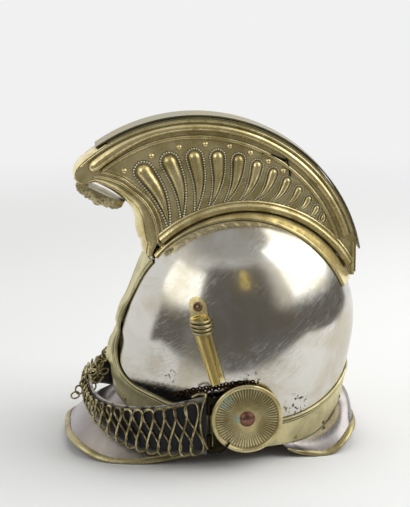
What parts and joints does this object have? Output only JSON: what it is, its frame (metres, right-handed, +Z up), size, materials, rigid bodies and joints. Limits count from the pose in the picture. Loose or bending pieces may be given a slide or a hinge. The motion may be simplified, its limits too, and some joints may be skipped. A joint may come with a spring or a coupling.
{
  "type": "cuirassier helmet",
  "caption": "Steel-skulled cavalry helmet with a tall embossed brass crest, brass bands, two rimmed peaks, a plume socket and a wire-link chin strap in two hinged halves.",
  "frame": {"origin": "centre of the bounding box, at the level of the ground that the two peaks rest on", "axes": "-X to the front, -Y to the wearer's left, +Z up"},
  "size_m": [0.2834, 0.2019, 0.3132],
  "materials": {
    "polished_steel": "mirror polish, pitted in places",
    "brass": "worn polish with dark recesses",
    "dark_brass": "dull, tarnished",
    "wire_brass": "worn wire",
    "brown_leather": "smooth, aged",
    "black_leather": "stiff, with pale worn edges",
    "copper": "brown patina",
    "iron": "plain",
    "lace": "twisted cord"
  },
  "bodies": {
    "helmet": {"skull": "polished_steel", "brow_band": "brass", "rear_band": "brass", "visor": "polished_steel", "visor_rim": "brass", "visor_lining": "brown_leather", "visor_rivets": "dark_brass", "nape_guard": "polished_steel", "nape_rim": "brass", "nape_lining": "brown_leather", "nape_rivets": "dark_brass", "left_crest_wing": "brass", "right_crest_wing": "brass", "left_crest_drops": "brass", "right_crest_drops": "brass", "left_crest_flange": "brass", "right_crest_flange": "brass", "left_foot_bead": "brass", "right_foot_bead": "brass", "crest_studs": "brass", "crest_top_plate": "brass", "crest_ridge": "brass", "crest_ridge_screws": "dark_brass", "crest_prow": "brass", "crest_mask": "brass", "crest_rear_plate": "brass", "crest_bridges": "dark_brass", "crest_bolts": "iron", "plume_plate": "brass", "plume_socket": "brass", "plume_rivet": "dark_brass", "liner_band": "brown_leather", "liner_tongues": "brown_leather", "liner_lace": "lace", "liner_rivets": "dark_brass", "left_bolt": "copper", "left_nut": "iron", "left_washer": "black_leather", "right_bolt": "copper", "right_nut": "iron", "right_washer": "black_leather"},
    "left_rosette": {"left_rosette": "brass", "left_strap_tab": "dark_brass", "left_hinge_pin": "dark_brass"},
    "left_strap": {"left_knuckles": "dark_brass", "left_strap": "black_leather", "left_links": "wire_brass"},
    "right_rosette": {"right_rosette": "brass", "right_strap_tab": "dark_brass", "right_hinge_pin": "dark_brass"},
    "right_strap": {"right_knuckles": "dark_brass", "right_strap": "black_leather", "right_links": "wire_brass"}
  },
  "joints": [
    {"name": "left_rosette_turn", "type": "hinge", "parent": "helmet", "child": "left_rosette", "pos_m": [0.02319, -0.0916, 0.048], "axis": [0, 1, 0], "range_deg": [0, 8]},
    {"name": "left_strap_swing", "type": "hinge", "parent": "left_rosette", "child": "left_strap", "pos_m": [-0.01081, -0.089, 0.04], "axis": [0, 0, 1], "range_deg": [0, 60]},
    {"name": "right_rosette_turn", "type": "hinge", "parent": "helmet", "child": "right_rosette", "pos_m": [0.02319, 0.0916, 0.048], "axis": [0, 1, 0], "range_deg": [0, 8]},
    {"name": "right_strap_swing", "type": "hinge", "parent": "right_rosette", "child": "right_strap", "pos_m": [-0.01081, 0.089, 0.04], "axis": [0, 0, -1], "range_deg": [0, 60]}
  ]
}
